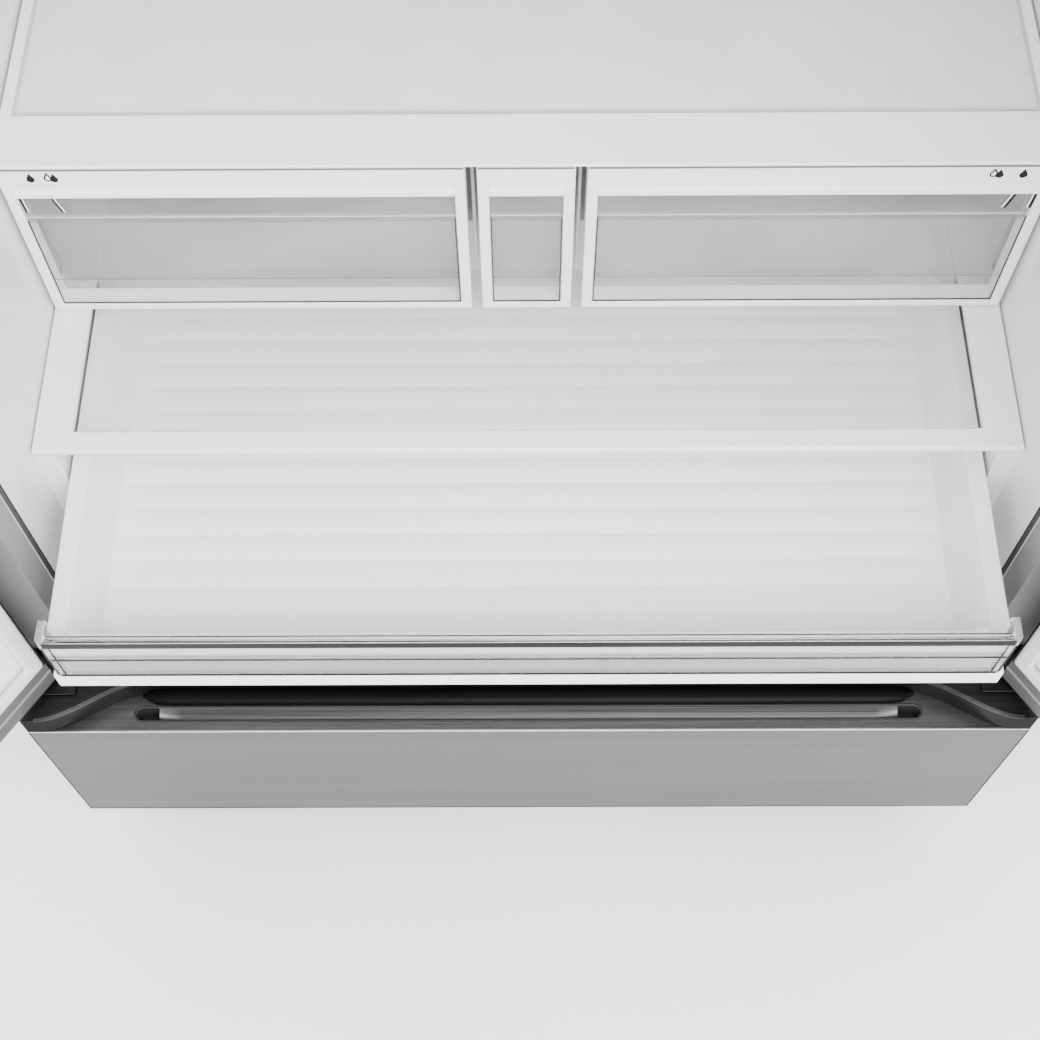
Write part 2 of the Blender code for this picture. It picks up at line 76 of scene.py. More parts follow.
# Drawer fronts, as the CAD has them, and the depth of the zone over the window's ledge, which
# carries a painted shade
TOP_RAIL = 0.0315
BOTTOM_RAIL = 0.008
STILE = 0.009
WINDOW_TOP = 0.030

# Drop marks on a crisper front, measured in from its outer edge
DRY_MARK_IN = 0.0265
MOIST_MARK_IN = 0.0447
RING_OFFSET = 0.0047
DROP_SIZE = 0.0032

# Wall of the fridge liner
LINER_WALL = 0.003

# Door gasket and the plane of the door's inner face, on the closed door
GASKET_X = (0.006, 0.4495)
GASKET_Z = (0.413, 1.645)
DOOR_BACK = FRONT + 0.058
BIN_X = (0.048, 0.392)
BIN_FRONT = 0.150
DOOR_FACE_X = (0.0045, 0.4518)

# Cup that lines the freezer pocket and turns over its edge, as (outward, height) steps
POCKET_CUP = (
    (-0.0003, -0.0290),
    (-0.0003, 0.0001),
    (0.0010, 0.0001),
    (0.0010, 0.0005),
    (-0.0004, 0.0008),
    (-0.0012, 0.0002),
    (-0.0014, -0.0150),
    (-0.0030, -0.0175),
    (-0.0055, -0.0185),
)

# Light
WORLD_STRENGTH = 2.5
KEY_WATTS = 260.0
FILL_WATTS = 20.0


# ---------------------------------------------------------------- materials


def tree_of(name, colour, roughness, metallic=0.0):
    """A material with its shader and the coordinates in metres that every texture reads."""
    made = bpy.data.materials.new(name)
    made.use_nodes = True
    nodes = made.node_tree.nodes
    shader = nodes["Principled BSDF"]
    shader.inputs["Base Color"].default_value = (*colour, 1.0)
    shader.inputs["Roughness"].default_value = roughness
    shader.inputs["Metallic"].default_value = metallic
    coords = nodes.new("ShaderNodeTexCoord").outputs["Object"]
    return made, shader, coords


def stretched(made, coords, scale, turn=0.0):
    """Coordinates turned about Z by so many degrees and scaled to repeats per metre."""
    node = made.node_tree.nodes.new("ShaderNodeMapping")
    node.inputs["Rotation"].default_value = (0.0, 0.0, math.radians(turn))
    made.node_tree.links.new(coords, node.inputs["Vector"])
    again = made.node_tree.nodes.new("ShaderNodeMapping")
    again.inputs["Scale"].default_value = scale
    made.node_tree.links.new(node.outputs["Vector"], again.inputs["Vector"])
    return again.outputs["Vector"]


def noise(made, vector, scale=1.0, detail=3.0):
    node = made.node_tree.nodes.new("ShaderNodeTexNoise")
    node.inputs["Scale"].default_value = scale
    node.inputs["Detail"].default_value = detail
    made.node_tree.links.new(vector, node.inputs["Vector"])
    return node.outputs["Fac"]


def spread(made, value, low, high):
    """Maps a texture's middle range onto low to high."""
    node = made.node_tree.nodes.new("ShaderNodeMapRange")
    node.inputs["From Min"].default_value = 0.3
    node.inputs["From Max"].default_value = 0.7
    node.inputs["To Min"].default_value = low
    node.inputs["To Max"].default_value = high
    made.node_tree.links.new(value, node.inputs["Value"])
    return node.outputs["Result"]


def tint(made, value, dark, light):
    """A colour that runs from dark to light with a texture."""
    node = made.node_tree.nodes.new("ShaderNodeValToRGB")
    node.color_ramp.elements[0].position = 0.3
    node.color_ramp.elements[0].color = (*dark, 1.0)
    node.color_ramp.elements[1].position = 0.7
    node.color_ramp.elements[1].color = (*light, 1.0)
    made.node_tree.links.new(value, node.inputs["Fac"])
    return node.outputs["Color"]


def bump(made, shader, value, depth, strength=1.0):
    node = made.node_tree.nodes.new("ShaderNodeBump")
    node.inputs["Distance"].default_value = depth
    node.inputs["Strength"].default_value = strength
    made.node_tree.links.new(value, node.inputs["Height"])
    made.node_tree.links.new(node.outputs["Normal"], shader.inputs["Normal"])


def link(made, output, socket):
    made.node_tree.links.new(output, socket)


def brushed(name, dark, light, roughness, turn=0.0, depth=0.00002, edge=0.15):
    """Metal brushed along X before it is turned: long hairlines with soft broad streaks.

    edge is how bright the metal stays at a grazing angle.
    """
    made, shader, coords = tree_of(name, light, roughness, 1.0)
    shader.inputs["Specular Tint"].default_value = (edge, edge, edge, 1.0)
    hair = noise(made, stretched(made, coords, (6, 2200, 2200), turn), 1.0, 2.0)
    streak = noise(made, stretched(made, coords, (1.5, 60, 60), turn), 1.0, 3.0)
    mixed = made.node_tree.nodes.new("ShaderNodeMath")
    mixed.operation = "MULTIPLY_ADD"
    mixed.inputs[1].default_value = 0.6
    link(made, hair, mixed.inputs[0])
    scaled = made.node_tree.nodes.new("ShaderNodeMath")
    scaled.operation = "MULTIPLY"
    scaled.inputs[1].default_value = 0.4
    link(made, streak, scaled.inputs[0])
    link(made, scaled.outputs[0], mixed.inputs[2])
    link(made, tint(made, mixed.outputs[0], dark, light), shader.inputs["Base Color"])
    wear = spread(made, hair, roughness - 0.05, roughness + 0.07)
    link(made, wear, shader.inputs["Roughness"])
    bump(made, shader, hair, depth, 0.5)
    return made


def moulded(name, dark, light, roughness, grain=0.00001, grain_scale=1600.0, coat=0.0, gloss=0.5):
    """Moulded plastic or paint: a fine grain and a faint, broad unevenness of tone."""
    made, shader, coords = tree_of(name, light, roughness)
    shader.inputs["Coat Weight"].default_value = coat
    shader.inputs["Coat Roughness"].default_value = 0.12
    shader.inputs["Specular IOR Level"].default_value = gloss
    cloud = noise(made, coords, 2.5, 1.0)
    link(made, tint(made, cloud, dark, light), shader.inputs["Base Color"])
    fine = noise(made, coords, grain_scale, 2.0)
    wear = spread(made, noise(made, coords, 30.0), roughness - 0.015, roughness + 0.02)
    link(made, wear, shader.inputs["Roughness"])
    bump(made, shader, fine, grain, 0.6)
    return made


def clear_plastic(name, colour, alpha, roughness=0.06):
    """Thin clear plastic: light passes straight on, with flow lines and a slight haze."""
    made, shader, coords = tree_of(name, colour, roughness)
    shader.inputs["Alpha"].default_value = alpha
    shader.inputs["Coat Weight"].default_value = 0.4
    flow = noise(made, stretched(made, coords, (1.0, 3.0, 9.0)), 1.0, 1.0)
    link(made, spread(made, flow, roughness - 0.02, roughness + 0.06), shader.inputs["Roughness"])
    tone = tuple(c * 0.94 for c in colour)
    link(made, tint(made, flow, tone, colour), shader.inputs["Base Color"])
    link(made, spread(made, noise(made, coords, 12.0), alpha - 0.04, alpha + 0.04),
         shader.inputs["Alpha"])
    bump(made, shader, flow, 0.0002, 0.2)
    return made


def solid_clear(name):
    """Thick clear plastic that bends what is seen through it."""
    made, shader, coords = tree_of(name, (0.965, 0.975, 0.975), 0.03)
    shader.inputs["Transmission Weight"].default_value = 1.0
    shader.inputs["IOR"].default_value = 1.49
    flow = noise(made, stretched(made, coords, (2, 20, 60)), 1.0, 2.0)
    link(made, spread(made, flow, 0.01, 0.06), shader.inputs["Roughness"])
    bump(made, shader, flow, 0.0003, 0.25)
    return made


def plated(name):
    """Zinc plated sheet with its crystal spangle."""
    made, shader, coords = tree_of(name, (0.34, 0.345, 0.35), 0.40, 1.0)
    cells = made.node_tree.nodes.new("ShaderNodeTexVoronoi")
    cells.inputs["Scale"].default_value = 170.0
    link(made, coords, cells.inputs["Vector"])
    grey = made.node_tree.nodes.new("ShaderNodeSeparateColor")
    link(made, cells.outputs["Color"], grey.inputs["Color"])
    patch = grey.outputs["Red"]
    link(made, tint(made, patch, (0.30, 0.304, 0.308), (0.36, 0.364, 0.368)),
         shader.inputs["Base Color"])
    link(made, spread(made, patch, 0.38, 0.44), shader.inputs["Roughness"])
    bump(made, shader, noise(made, coords, 700.0), 0.00003, 0.4)
    return made


def finned(name):
    """Stacked aluminium fins, 2 mm apart, drawn as light stripes with dark stripes of painted shade
    in the gaps between them.
    """
    made, shader, coords = tree_of(name, (0.62, 0.63, 0.64), 0.35, 1.0)
    wave = made.node_tree.nodes.new("ShaderNodeTexWave")
    wave.inputs["Scale"].default_value = 80.0
    wave.inputs["Distortion"].default_value = 0.3
    link(made, coords, wave.inputs["Vector"])
    # The dark end of the stripes is painted shade between the fins.
    link(made, tint(made, wave.outputs["Fac"], (0.16, 0.16, 0.17), (0.70, 0.71, 0.72)),
         shader.inputs["Base Color"])
    bump(made, shader, wave.outputs["Fac"], 0.0008, 0.8)
    return made


STEEL = brushed("steel", (0.115, 0.116, 0.118), (0.175, 0.176, 0.178), 0.34, edge=0.7)
DOOR_STEEL = {}
for door_name, door_side in SIDES:
    DOOR_STEEL[door_side] = brushed(
        "door_steel_" + door_name,
        (0.13, 0.131, 0.133),
        (0.20, 0.201, 0.203),
        0.34,
        -door_side * DOOR_ANGLE,
        edge=0.7,
    )
# Near-white steel for a painted highlight along the freezer front's top edge.
HIGHLIGHT_STEEL = brushed("edge_highlight_steel", (0.70, 0.705, 0.71), (0.85, 0.85, 0.855), 0.22, edge=1.0)
DARK_STEEL = brushed("dark_steel", (0.024, 0.024, 0.025), (0.066, 0.066, 0.068), 0.32)
# Near-black steel: painted shade in the hollow behind the freezer pocket.
HOLLOW_SHADE = brushed("cap_hollow_shade", (0.003, 0.003, 0.003), (0.010, 0.010, 0.0103), 0.40, edge=0.1)
CAP_WALL = brushed("cap_wall", (0.028, 0.028, 0.0285), (0.052, 0.052, 0.053), 0.34, edge=0.4)
# Lighter steel for a painted highlight on the cap's curved front rim.
CAP_HIGHLIGHT = brushed("cap_edge", (0.10, 0.10, 0.102), (0.17, 0.17, 0.173), 0.30)
WHITE = moulded("white_plastic", (0.83, 0.835, 0.84), (0.85, 0.855, 0.855), 0.30, coat=0.15)
LINER = moulded("liner_white", (0.80, 0.805, 0.81), (0.82, 0.825, 0.83), 0.26, coat=0.2)
BRIGHT = moulded("bright_white", (0.86, 0.865, 0.87), (0.90, 0.90, 0.905), 0.28, coat=0.2)
GREY_PAINT = moulded(
    "grey_paint", (0.15, 0.152, 0.155), (0.19, 0.192, 0.195), 0.42, 0.00004, 420.0, gloss=0.35
)
TRIM_GREY = moulded("trim_grey", (0.42, 0.425, 0.43), (0.50, 0.505, 0.51), 0.40)
BLACK = moulded(
    "black_plastic", (0.012, 0.012, 0.0125), (0.024, 0.024, 0.025), 0.55, 0.00005, 900.0, gloss=0.25
)
CAST = moulded("black_enamel", (0.012, 0.012, 0.013), (0.028, 0.028, 0.030), 0.40, 0.00015, 260.0)
SEAL = moulded("gasket_white", (0.60, 0.604, 0.608), (0.66, 0.664, 0.668), 0.50, 0.00003, 700.0)
END_CAP = moulded("end_cap_grey", (0.060, 0.061, 0.062), (0.085, 0.086, 0.088), 0.45, gloss=0.2)
END_CAP_RIB = moulded("end_cap_rib", (0.17, 0.172, 0.174), (0.21, 0.212, 0.214), 0.45, gloss=0.2)
# Grey clear plastic and near-black: painted shade on the deli lens.
LENS_SHADE_TONE = clear_plastic("lens_shade_tone", (0.20, 0.202, 0.205), 0.40, 0.30)
LENS_SHADE_LINE = moulded("lens_shade_line", (0.012, 0.012, 0.0125), (0.024, 0.024, 0.025), 0.5, gloss=0.05)
SHADOW = moulded("shadow_gap", (0.010, 0.010, 0.0103), (0.018, 0.018, 0.0185), 0.7, gloss=0.05)
ICON = moulded("icon_ink", (0.010, 0.010, 0.0105), (0.018, 0.018, 0.019), 0.6, gloss=0.05)
# Near-black for painted shade lines along the edges of clear panes.
PANE_EDGE_SHADE = moulded("clear_edge_shade", (0.035, 0.035, 0.036), (0.055, 0.056, 0.057), 0.5, gloss=0.1)
# Dark grey for the painted shade in the groove between the frame's return and the liner.
GROOVE_SHADE = moulded("liner_groove_shade", (0.030, 0.030, 0.031), (0.045, 0.045, 0.046), 0.5, gloss=0.1)
# Grey for painted shade lines in the gaps along the drawer fronts.
TOP_GAP_SHADE = moulded("rail_gap_shade", (0.12, 0.122, 0.125), (0.16, 0.162, 0.165), 0.5, gloss=0.1)
FOAM = moulded("foam", (0.66, 0.56, 0.34), (0.78, 0.70, 0.47), 0.9, 0.0006, 180.0)
CLEAR = clear_plastic("clear_plastic", (0.72, 0.735, 0.74), 0.20)
DOOR_CLEAR = clear_plastic("door_bin_clear", (0.50, 0.51, 0.515), 0.26)
WINDOW = clear_plastic("window_plastic", (0.66, 0.665, 0.668), 0.10)
# Grey clear plastic that paints shade over the drawer windows.
PANE_SHADE = clear_plastic("painted_pane_shade", (0.16, 0.162, 0.164), 0.26, 0.30)
SCOOP_STEEL = brushed("scoop_steel", (0.018, 0.018, 0.0183), (0.115, 0.115, 0.117), 0.34)
LEDGE_STEEL = brushed("ledge_steel", (0.07, 0.07, 0.071), (0.24, 0.24, 0.243), 0.32)
GLASS = clear_plastic("cover_glass", (0.90, 0.93, 0.93), 0.16, 0.05)
SHELF_GLASS = clear_plastic("shelf_glass", (0.92, 0.93, 0.93), 0.66, 0.12)
THICK_CLEAR = solid_clear("lens_plastic")
ZINC = plated("zinc_plated")
FINS = finned("aluminium_fins")


# ---------------------------------------------------------------- mesh tools


def piece(name, bm, material, body, smooth=35.0, bevel=0.0, segments=2):
    """Turns a bmesh into a piece that rides on a body."""
    bmesh.ops.remove_doubles(bm, verts=bm.verts, dist=1e-6)
    bmesh.ops.recalc_face_normals(bm, faces=bm.faces)
    if bevel:
        round_edges(bm, bevel, segments)
    mesh = bpy.data.meshes.new(name)
    bm.to_mesh(mesh)
    bm.free()
    mesh.shade_smooth()
    mesh.set_sharp_from_angle(angle=math.radians(smooth))
    obj = bpy.data.objects.new(name, mesh)
    obj.data.materials.append(material)
    bpy.context.scene.collection.objects.link(obj)
    if bevel:
        modifier = obj.modifiers.new("normals", "WEIGHTED_NORMAL")
        modifier.keep_sharp = True
    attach(obj, body)
    return obj


def round_edges(bm, width, segments):
    """Rounds each edge whose faces meet at more than 30 degrees."""
    limit = math.radians(30.0)
    edges = []
    for edge in bm.edges:
        if len(edge.link_faces) == 2 and edge.calc_face_angle(0.0) > limit:
            edges.append(edge)
    bmesh.ops.bevel(
        bm,
        geom=edges,
        offset=width,
        offset_type="OFFSET",
        segments=segments,
        profile=0.5,
        affect="EDGES",
        clamp_overlap=True,
    )


def body_of(node):
    return frame["nodes"][node]["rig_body"]


def slot_of(node):
    for part in frame["record"]["subparts"]:
        if part["node"] == node:
            return part.get("material_slot")
    return None


def refined(node, material, bevel, segments=2):
    """A copy of a CAD node with its flat faces joined up and its edges rounded."""
    bm = bmesh.new()
    bm.from_mesh(frame["nodes"][node].data)
    bmesh.ops.remove_doubles(bm, verts=bm.verts, dist=1e-5)
    bmesh.ops.join_triangles(
        bm,
        faces=bm.faces,
        angle_face_threshold=math.radians(1.0),
        angle_shape_threshold=math.pi,
    )
    body, slot = body_of(node), slot_of(node)
    made = piece(node + "_body", bm, material, body, bevel=bevel, segments=segments)
    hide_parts(node)


def paint(node, material):
    """Gives a CAD node that stays its finished material."""
    obj = frame["nodes"][node]
    for slot in obj.material_slots:
        slot.material = material
    if not obj.material_slots:
        obj.data.materials.append(material)


def block(x, y, z):
    """A box between two X, two Y and two Z values."""
    bm = bmesh.new()
    centre = Vector(((x[0] + x[1]) / 2, (y[0] + y[1]) / 2, (z[0] + z[1]) / 2))
    size = (abs(x[1] - x[0]), abs(y[1] - y[0]), abs(z[1] - z[0]), 1.0)
    bmesh.ops.create_cube(bm, size=1.0, matrix=Matrix.Translation(centre) @ Matrix.Diagonal(size))
    return bm


def rounded_outline(x, y, radius, steps=5):
    """A rectangle with round corners, as points going round."""
    points = []
    corners = ((x[1], y[1], 0), (x[0], y[1], 90), (x[0], y[0], 180), (x[1], y[0], 270))
    for cx, cy, start in corners:
        mx = cx - math.copysign(radius, cx - (x[0] + x[1]) / 2)
        my = cy - math.copysign(radius, cy - (y[0] + y[1]) / 2)
        for i in range(steps + 1):
            angle = math.radians(start + 90 * i / steps)
            points.append((mx + radius * math.cos(angle), my + radius * math.sin(angle)))
    return points


def loft(rings, closed=False):
    """Skins rings of equal length, each a list of (x, y, z), and caps the ends of an open row."""
    bm = bmesh.new()
    rows = [[bm.verts.new(p) for p in ring] for ring in rings]
    pairs = list(zip(rows, rows[1:]))
    if closed:
        pairs.append((rows[-1], rows[0]))
    count = len(rows[0])
    for low, high in pairs:
        for i in range(count):
            j = (i + 1) % count
            bm.faces.new((low[i], low[j], high[j], high[i]))
    if not closed:
        bm.faces.new(rows[0])
        bm.faces.new(rows[-1])
    return bm


def level(outline, z):
    return [(a, b, z) for a, b in outline]


def upright(outline, y):
    return [(a, y, b) for a, b in outline]


def turned(profile, centre, axis=(0, 0, 1), steps=24):
    """A solid turned about an axis through centre from (radius, height) points."""
    bm = bmesh.new()
    turn = Vector((0, 0, 1)).rotation_difference(Vector(axis)).to_matrix()
    rows = []
    for radius, height in profile:
        row = []
        for i in range(steps if radius else 1):
            angle = i * math.tau / steps
            spot = Vector((radius * math.cos(angle), radius * math.sin(angle), height))
            row.append(bm.verts.new(Vector(centre) + turn @ spot))
        rows.append(row)
    for low, high in zip(rows, rows[1:]):
        for i in range(steps):
            j = (i + 1) % steps
            ring = [low[i % len(low)], low[j % len(low)]]
            ring += [high[j % len(high)], high[i % len(high)]]
            bm.faces.new(list(dict.fromkeys(ring)))
    return bm


def join_meshes(parts):
    """Several bmeshes in one, each still a closed shell of its own."""
    whole = bmesh.new()
    for bm in parts:
        mesh = bpy.data.meshes.new("part")
        bm.to_mesh(mesh)
        bm.free()
        whole.from_mesh(mesh)
        bpy.data.meshes.remove(mesh)
    return whole


def screw(centre, axis, radius=0.004):
    """A pan head with a shallow round recess."""
    profile = [(0, -0.001), (radius, -0.001), (radius, 0.0006), (radius * 0.8, 0.0014)]
    profile += [(radius * 0.4, 0.0017), (radius * 0.3, 0.0008), (0, 0.0008)]
    return turned(profile, centre, axis, 16)


def mirrored(span, side):
    """A span of X drawn for the +X side, taken to the given side."""
    return (span[0], span[1]) if side > 0 else (-span[1], -span[0])


def door_turn(side):
    """Takes a point drawn on a closed door to its place on the open one."""
    pivot = Matrix.Translation((side * HINGE_X, HINGE_Y, 0))
    turn = Matrix.Rotation(math.radians(side * DOOR_ANGLE), 4, "Z")
    return pivot @ turn @ pivot.inverted()


# ---------------------------------------------------------------- fresh food compartment


def make_liner():
    """The liner, with the grey return of the front frame, and where the two meet a lighter line, a
    dark band of painted shade for the groove and a painted shadow line.
    """
    refined("fridge_liner", LINER, 0.004, 3)
    low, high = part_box("fridge_liner")
    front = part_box("front_frame")[0].y
    x = high.x - LINER_WALL
    z = (low.z + LINER_WALL, high.z - LINER_WALL)

    def band(name, y, inset, material):
        gap = 0.0002
        outer = rounded_outline((-x + gap, x - gap), (z[0] + gap, z[1] - gap), 0.002)
        inner = rounded_outline((-x + inset, x - inset), (z[0] + inset, z[1] - inset), 0.0015)
        rings = [upright(outer, y[0]), upright(inner, y[0])]
        rings += [upright(inner, y[1]), upright(outer, y[1])]
        piece(name, loft(rings, closed=True), material, "cabinet")

    band("frame_return", (front + 0.0001, front + 0.0280), 0.0009, GREY_PAINT)
    band("liner_groove_light", (front + 0.0282, front + 0.0296), 0.0011, TRIM_GREY)
    # Painted shade: flat dark bands on the liner stand in for the groove.
    band("liner_groove_shade", (front + 0.0298, front + 0.0362), 0.0006, GROOVE_SHADE)
    band("liner_groove_line", (front + 0.0364, front + 0.0374), 0.0008, SHADOW)


def make_ceiling_lamp():
    low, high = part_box("fridge_liner")
    z = high.z - LINER_WALL
    y = (low.y + 0.050, low.y + 0.095)
    rings = [
        level(rounded_outline((-0.200, 0.200), y, 0.008), z - 0.0002),
        level(rounded_outline((-0.200, 0.200), y, 0.008), z - 0.005),
        level(rounded_outline((-0.196, 0.196), (y[0] + 0.004, y[1] - 0.004), 0.006), z - 0.008),
    ]
    piece("ceiling_lamp_lens", loft(rings), BRIGHT, "cabinet", bevel=0.0008)


def make_shelf_supports():
    """Rests moulded into the side walls under each upper shelf."""
    for node in ("mid_shelf", "upper_shelf"):
        low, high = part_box(node)
        for name, side in SIDES:
            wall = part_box("fridge_liner")[1].x - LINER_WALL
            x = mirrored((wall - 0.011, wall - 0.0002), side)
            rest = block(x, (low.y + 0.030, high.y - 0.020), (high.z - 0.0135, high.z - 0.0055))
            piece(f"{node}_rest_{name}", rest, LINER, "cabinet", bevel=0.002)


def make_shelves():
    refined("crisper_shelf_frame", WHITE, 0.0022, 3)
    refined("crisper_shelf_glass", SHELF_GLASS, 0.0006)
    low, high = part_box("crisper_shelf_glass")
    over = 0.0002
    width = 0.0022
    outer_x, outer_y = (low.x - over, high.x + over), (low.y - over, high.y)
    inner_x, inner_y = (low.x + width, high.x - width), (low.y + width, high.y - 0.002)
    outer = rounded_outline(outer_x, outer_y, 0.002)
    inner = rounded_outline(inner_x, inner_y, 0.002)
    under, top = high.z - 0.001, high.z + 0.0006
    seal = [level(outer, under), level(outer, top), level(inner, top), level(inner, under)]
    piece("crisper_shelf_seal", loft(seal, closed=True), TRIM_GREY, "cabinet")
    for node in ("mid_shelf", "upper_shelf"):
        refined(node, GLASS, 0.001)
        low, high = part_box(node)
        x = (low.x - 0.0005, high.x + 0.0005)
        front = block(x, (low.y - 0.003, low.y + 0.020), (low.z - 0.001, high.z + 0.002))
        piece(node + "_front_trim", front, WHITE, "cabinet", bevel=0.003, segments=3)


def make_air_tower():
    refined("air_tower", WHITE, 0.004, 3)
    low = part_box("air_tower")[0]
    slots = []
    for row in range(7):
        z = low.z + 0.040 + 0.030 * row
        for side in (-1, 1):
            x = mirrored((0.030, 0.095), side)
            slots.append(block(x, (low.y - 0.0006, low.y + 0.002), (z, z + 0.010)))
    piece("air_tower_vents", join_meshes(slots), SHADOW, "cabinet", bevel=0.0004)


# ---------------------------------------------------------------- crispers


def drop_outline(centre_x, centre_z, size, steps=10):
    """A water drop: a circle drawn out to a point above."""
    points = [(centre_x, centre_z + 2.1 * size)]
    for i in range(steps + 1):
        angle = math.radians(30 - 240 * i / steps)
        points.append((centre_x + size * math.cos(angle), centre_z + size * math.sin(angle)))
    return points


def drop_mark(name, centre_x, centre_z, size, front, body):
    outline = drop_outline(centre_x, centre_z, size)
    rings = [upright(outline, front - 0.00025), upright(outline, front + 0.0003)]
    piece(name, loft(rings), ICON, body)


def drop_ring(name, centre_x, centre_z, size, front, body):
    outer = drop_outline(centre_x, centre_z, size)
    inner = drop_outline(centre_x, centre_z, size * 0.62)
    rings = [upright(outer, front + 0.0003), upright(outer, front - 0.00025)]
    rings += [upright(inner, front - 0.00025), upright(inner, front + 0.0003)]
    piece(name, loft(rings, closed=True), ICON, body)


def drawer_lip(node, body):
    """The finger pull along the bottom of a drawer front's top rail."""
    low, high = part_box(node)
    z = high.z - TOP_RAIL
    face = ((0.0, 0.0), (-0.0020, 0.0003), (-0.0026, 0.0025), (-0.0020, 0.0070), (0.0, 0.0082))
    rings = []
    for at in (low.x + STILE, high.x - STILE):
        outline = [(low.y + dy, z + dz) for dy, dz in face]
        outline += [(low.y + 0.004, z + 0.0082), (low.y + 0.004, z)]
        rings.append([(at, y, height) for y, height in outline])
    piece(node + "_lip", loft(rings), BRIGHT, body, bevel=0.0006)


def window_pane(node, body):
    """The clear front pane, with the ledge moulded across it, grey clear blocks that paint shade
    over the ledge zone, in a band under the ledge and in a line lower down, dark lines of painted
    shade at the pane's edges, and a painted shade line along the top of the front.
    """
    low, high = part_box(node)
    x = (low.x + STILE + 0.0004, high.x - STILE - 0.0004)
    z = (low.z + BOTTOM_RAIL + 0.0004, high.z - TOP_RAIL - 0.0004)
    y = low.y + 0.0016
    outline = rounded_outline(x, z, 0.0015)
    pane = [upright(outline, y), upright(outline, y + 0.0022)]
    piece(node + "_pane", loft(pane), WINDOW, body, bevel=0.0003)

    ledge_z = z[1] - WINDOW_TOP
    top = block(x, (y + 0.0024, y + 0.0034), (ledge_z + 0.0006, z[1]))
    bar = block(x, (y + 0.0024, y + 0.0050), (ledge_z - 0.0062, ledge_z - 0.0004))
    floor_line = block(x, (y + 0.0024, y + 0.0032), (ledge_z - 0.0822, ledge_z - 0.0812))
    # Painted shade: the zone over the ledge, a band under it and a line lower down.
    shade = join_meshes([top, bar, floor_line])
    piece(node + "_pane_shade", shade, PANE_SHADE, body, bevel=0.0002)
    ledge = block(x, (y + 0.0024, y + 0.0054), (ledge_z - 0.0003, ledge_z + 0.0005))
    piece(node + "_pane_ledge", ledge, BRIGHT, body, bevel=0.0002)

    edge_y = (y - 0.0008, y - 0.0001)
    side_z = (z[0], ledge_z)
    edges = [
        block((x[0], x[0] + 0.0009), edge_y, side_z),
        block((x[1] - 0.0009, x[1]), edge_y, side_z),
        block((x[0] + 0.0010, x[1] - 0.0010), edge_y, (z[0], z[0] + 0.0011)),
    ]
    piece(node + "_pane_edges", join_meshes(edges), PANE_EDGE_SHADE, body)
    # A grey strip along the front's top edge: painted shade in the gap under the shelf.
    shade_strip_x = (low.x + 0.0010, high.x - 0.0010)
    shade_strip = block(shade_strip_x, (low.y - 0.0003, low.y + 0.0004), (high.z - 0.0014, high.z))
    piece(node + "_top_gap_shade", shade_strip, TOP_GAP_SHADE, body)


def slanted_bar(start, end, width, y):
    """A thin flat bar from one (x, z) point to another."""
    x0, z0 = start
    x1, z1 = end
    corners = [(x0, z0), (x0 + width, z0), (x1 + width, z1), (x1, z1)]
    return loft([upright(corners, y[0]), upright(corners, y[1])])


def bin_hook(body, side):
    """The moulded hook by which the clear bin hangs in its frame, at the outer top corner: white
    bars, each beside a dark bar of painted shade for its slot.
    """
    low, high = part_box(body + "_frame")
    outer = high.x if side > 0 else low.x
    y = (low.y + 0.0003, low.y + 0.0013)
    top = high.z - TOP_RAIL - 0.0006
    tip = top - 0.0185
    inner_slot = 0.0263 if side > 0 else 0.0350
    dark, light = [], []
    for offset, drop in ((0.0105, 0.0010), (inner_slot, 0.0050)):
        start = (outer - side * offset, top)
        end = (outer - side * (offset + drop), tip)
        dark.append(slanted_bar(start, end, 0.0018, y))
        start = (start[0] - side * 0.0016, top)
        end = (end[0] - side * 0.0016, tip)
        light.append(slanted_bar(start, end, 0.0010, y))
    # The dark bars are painted shade in the hook slots, in the ink colour.
    piece(body + "_hook_slot_shade", join_meshes(dark), ICON, body)
    piece(body + "_hooks", join_meshes(light), BRIGHT, body)


def make_crispers():
    for name, side in SIDES:
        body = "crisper_" + name
        refined(body + "_frame", WHITE, 0.0014, 3)
        refined(body + "_bin", CLEAR, 0.0008)
        drawer_lip(body + "_frame", body)
        window_pane(body + "_frame", body)
        bin_hook(body, side)
        low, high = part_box(body + "_frame")
        outer = high.x if side > 0 else low.x
        z = high.z - 0.0108
        dry = outer - side * DRY_MARK_IN
        moist = outer - side * MOIST_MARK_IN
        drop_mark(body + "_dry_mark", dry, z, DROP_SIZE, low.y, body)
        drop_mark(body + "_moist_mark", moist, z, 0.0031, low.y, body)
        drop_ring(body + "_moist_ring", moist - RING_OFFSET, z + 0.0010, DROP_SIZE, low.y, body)
        refined("humidity_slider_" + name, BRIGHT, 0.001)
    refined("centre_drawer_frame", WHITE, 0.0014, 3)
    refined("centre_drawer_bin", CLEAR, 0.0008)
    drawer_lip("centre_drawer_frame", "centre_drawer")
    window_pane("centre_drawer_frame", "centre_drawer")
    make_centre_notch()


def make_centre_notch():
    """Two steps moulded behind the narrow drawer's window."""
    low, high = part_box("centre_drawer_frame")
    x = (low.x + 0.013, high.x - 0.013)
    back = low.y + 0.012
    steps = []
    for z, deep in ((high.z - 0.050, 0.010), (high.z - 0.078, 0.006)):
        steps.append(block(x, (back, back + deep), (z, z + 0.003)))
    piece("centre_drawer_steps", join_meshes(steps), CLEAR, "centre_drawer", bevel=0.0006)


# ---------------------------------------------------------------- deli drawer and its cover


def make_cover():
    refined("deli_cover_frame", WHITE, 0.0022, 3)
    refined("deli_cover_glass", GLASS, 0.0006)


